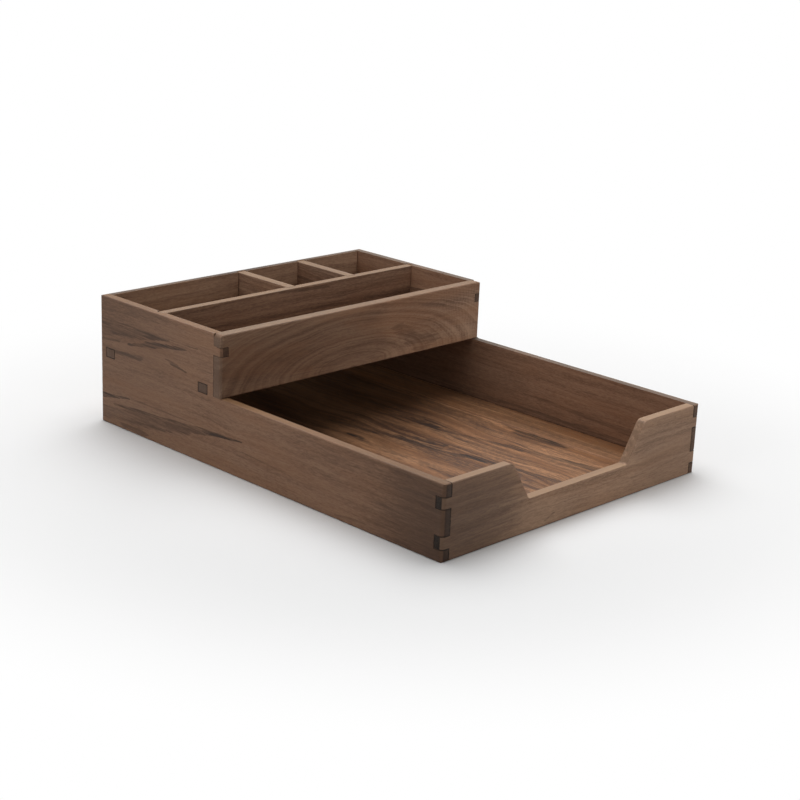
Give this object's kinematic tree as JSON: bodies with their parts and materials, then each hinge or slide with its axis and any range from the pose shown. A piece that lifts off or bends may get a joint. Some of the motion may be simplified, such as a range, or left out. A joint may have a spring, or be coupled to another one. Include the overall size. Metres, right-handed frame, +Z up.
{
  "type": "desk organizer",
  "caption": "Open wooden desk organizer: a flat paper bay with a finger cut-out in its front rail, bridged at the rear by a raised divided tray.",
  "frame": {"origin": "middle of the body's underside, on the surface that it stands on", "axes": "+X to the right seen from the front, +Y to the rear, +Z up"},
  "size_m": [0.25, 0.339, 0.093],
  "materials": {
    "left_side": "oiled walnut, satin",
    "right_side": "oiled walnut, satin",
    "front_rail": "oiled walnut, satin",
    "back_board": "oiled walnut, satin",
    "tray_front": "oiled walnut, satin",
    "tray_floor": "oiled walnut, satin",
    "long_divider": "oiled walnut, satin",
    "cross_divider_left": "oiled walnut, satin",
    "cross_divider_right": "oiled walnut, satin",
    "base_stave_wide": "oiled walnut, satin",
    "base_stave_narrow": "oiled walnut, satin"
  },
  "bodies": {
    "root": {"left_side": "left_side", "right_side": "right_side", "front_rail": "front_rail", "back_board": "back_board", "tray_front": "tray_front", "tray_floor": "tray_floor", "long_divider": "long_divider", "cross_divider_left": "cross_divider_left", "cross_divider_right": "cross_divider_right", "base_stave_wide": "base_stave_wide", "base_stave_narrow": "base_stave_narrow"}
  },
  "joints": []
}
